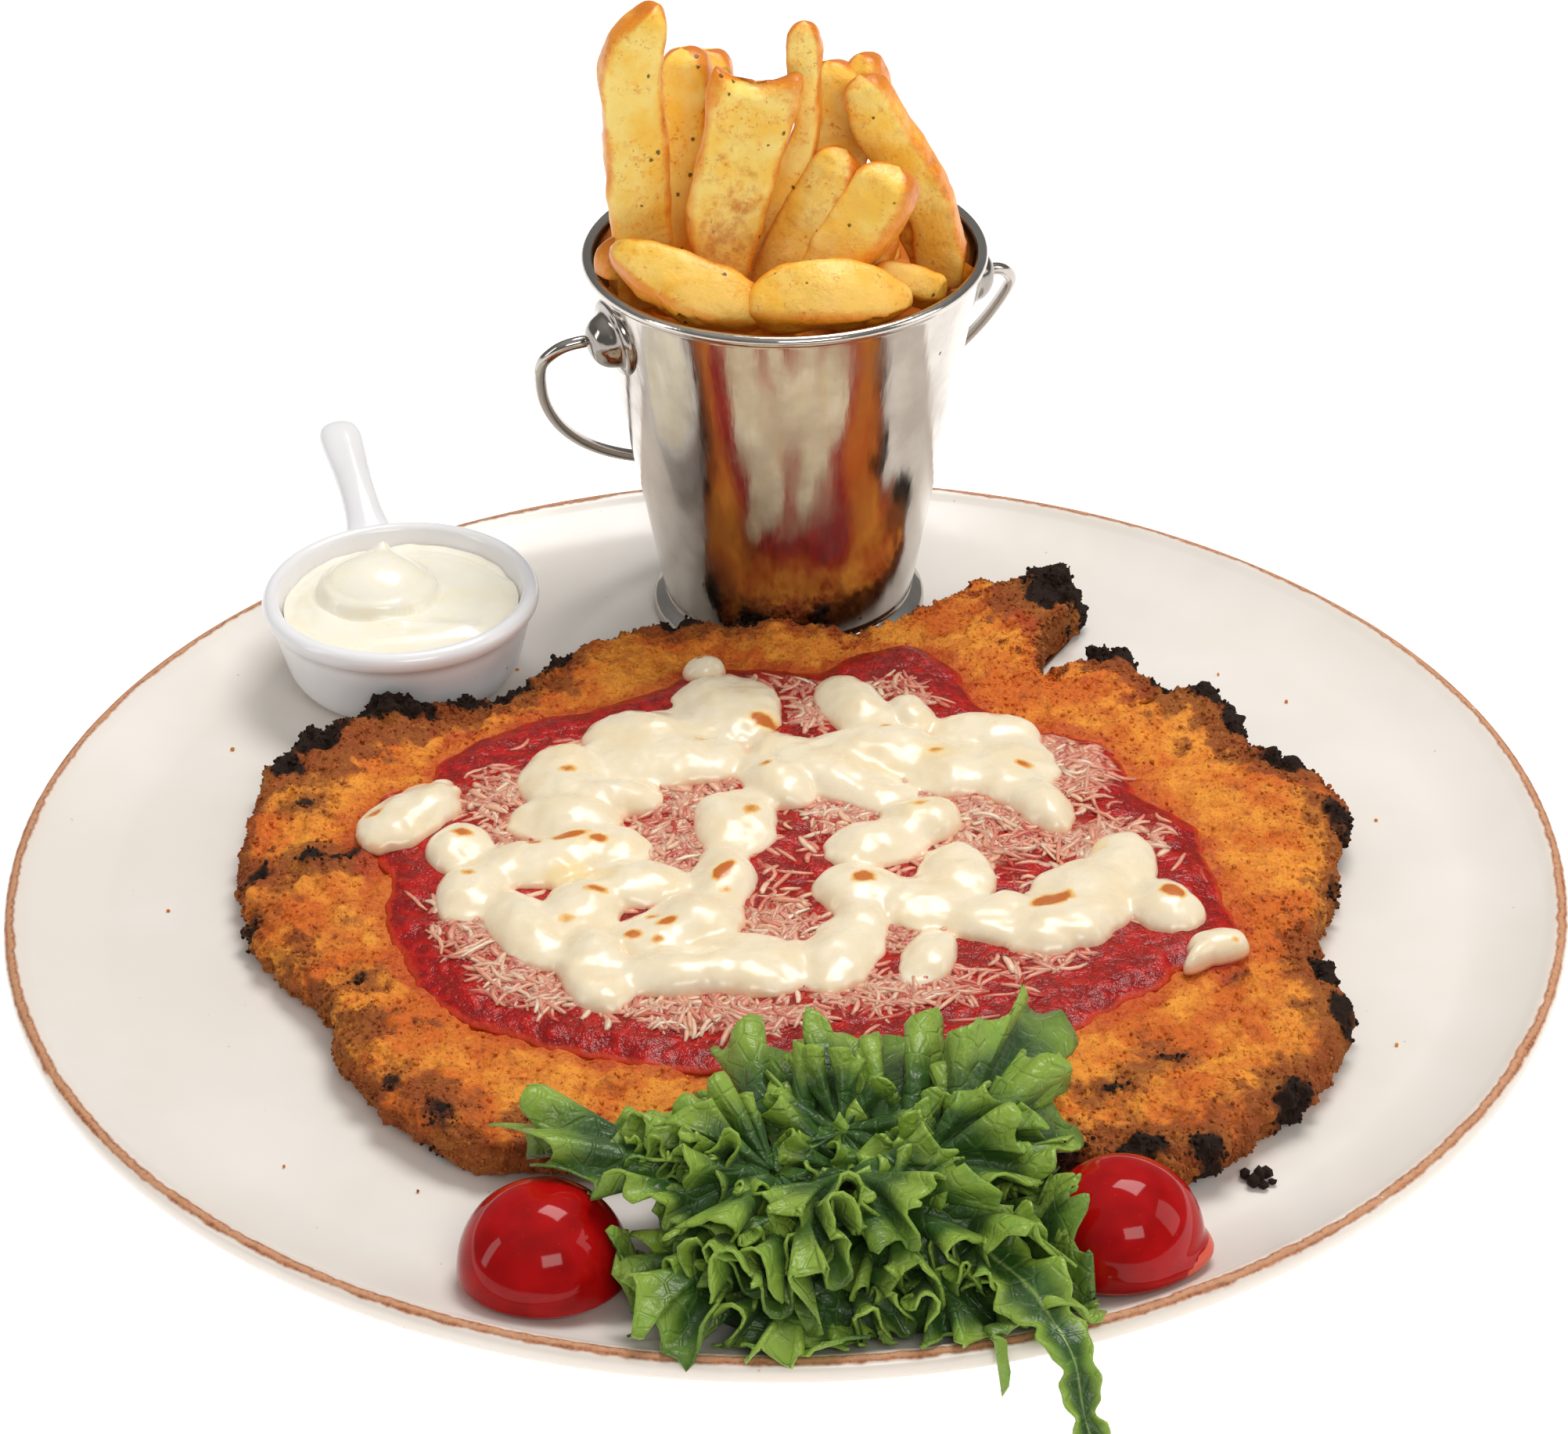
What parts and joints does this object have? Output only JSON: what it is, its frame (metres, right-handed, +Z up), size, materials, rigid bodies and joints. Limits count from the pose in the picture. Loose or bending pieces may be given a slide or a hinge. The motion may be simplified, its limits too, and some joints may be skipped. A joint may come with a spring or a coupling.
{
  "type": "chicken parmigiana plated meal",
  "caption": "Round plate with a crumbed cutlet under tomato sauce and melted cheese, lettuce, tomato halves, a dish of mayonnaise, and a pail of fries with a swinging bail.",
  "frame": {"origin": "middle of the plate's flat underside, on the table", "axes": "+Z up; -Y towards the diner's side with the lettuce garnish; +X to the right seen from there"},
  "size_m": [0.3234, 0.3386, 0.1633],
  "materials": {
    "stoneware": "warm white glaze with a worn brown line on the rim",
    "porcelain": "glossy white glaze",
    "polished_steel": "polished, lightly smeared",
    "steel_wire": "polished wire",
    "fried_crust": "rough fried crumb, charred at the edge",
    "tomato_sauce": "wet, with pale grated cheese on it",
    "melted_cheese": "smooth and oily, toasted in spots",
    "mayonnaise": "smooth and glossy",
    "fried_potato": "fried, oily, with herb flecks",
    "lettuce_leaf": "thin frilly leaf",
    "tomato": "smooth wet skin"
  },
  "bodies": {
    "serving": {"plate": "stoneware", "cutlet": "fried_crust", "cheese": "melted_cheese", "cheese_left_curd": "melted_cheese", "cheese_top_curd": "melted_cheese", "cheese_right_curd": "melted_cheese", "sauce": "tomato_sauce", "tomato_left": "tomato", "tomato_right": "tomato", "sauce_dish": "porcelain", "mayonnaise": "mayonnaise", "pail": "polished_steel", "pail_ear_left": "polished_steel", "pail_ear_right": "polished_steel", "fries": "fried_potato", "lettuce": "lettuce_leaf"},
    "bail": {"bail": "steel_wire"}
  },
  "joints": [
    {"name": "bail_hinge", "type": "hinge", "parent": "serving", "child": "bail", "pos_m": [0.0017, 0.1141, 0.0878], "axis": [0.9379, 0.3469, 0], "range_deg": [0, 126]}
  ]
}
